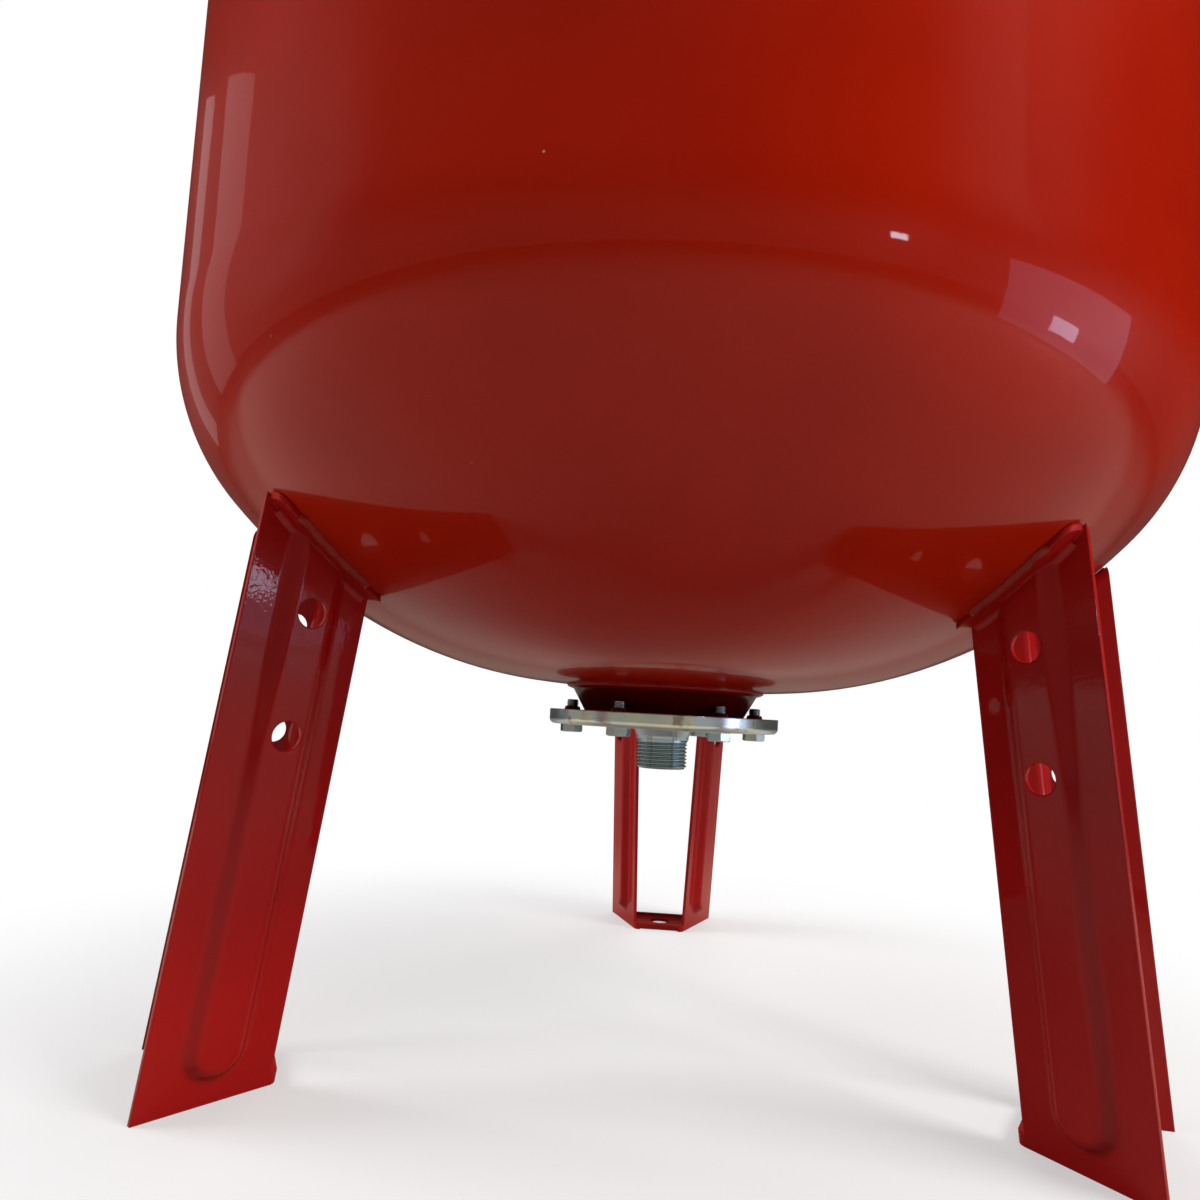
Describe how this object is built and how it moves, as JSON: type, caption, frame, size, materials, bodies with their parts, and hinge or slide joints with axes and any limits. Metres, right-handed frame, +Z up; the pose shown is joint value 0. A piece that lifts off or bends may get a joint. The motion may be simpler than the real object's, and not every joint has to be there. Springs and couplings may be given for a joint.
{
  "type": "expansion tank",
  "caption": "Upright membrane expansion tank on folded sheet legs, with a bolted bottom counterflange, a threaded water connection and a capped air valve on top.",
  "frame": {"origin": "on the tank's axis, at the floor under the legs", "axes": "+Z up along the tank's axis; the back leg stands towards +Y and the two front legs towards -Y, left and right"},
  "size_m": [0.6024, 0.6024, 1.0706],
  "materials": {
    "shell_paint": "deep glossy red powder paint with a faint orange peel",
    "leg_paint": "glossy red paint over folded sheet",
    "neck_paint": "glossy red paint, a little darker",
    "weld_paint": "red paint over a weld bead",
    "zinc_sheet": "bright zinc over drawn sheet with fine upright marks",
    "zinc_bolt": "bright zinc",
    "zinc_nipple": "turned and zinc plated",
    "bladder_rubber": "matt black",
    "seal_rubber": "matt black",
    "valve_brass": "machined",
    "cap_plastic": "moulded black"
  },
  "bodies": {
    "root": {"lower_shell": "shell_paint", "upper_shell": "shell_paint", "girth_weld": "weld_paint", "neck_collar": "neck_paint", "neck_weld": "weld_paint", "weld_nuts": "neck_paint", "counterflange": "zinc_sheet", "flange_bolts": "zinc_bolt", "nipple": "zinc_nipple", "nipple_weld": "zinc_nipple", "bladder": "bladder_rubber", "leg_front_left": "leg_paint", "leg_front_right": "leg_paint", "leg_back": "leg_paint", "leg_welds_front_left": "weld_paint", "leg_welds_front_right": "weld_paint", "leg_welds_back": "weld_paint", "valve_boss": "shell_paint", "valve_boss_weld": "weld_paint", "valve_seal": "seal_rubber", "valve_stem": "valve_brass", "valve_core": "valve_brass", "dust_cap": "cap_plastic", "guard_cap": "cap_plastic"}
  },
  "joints": []
}
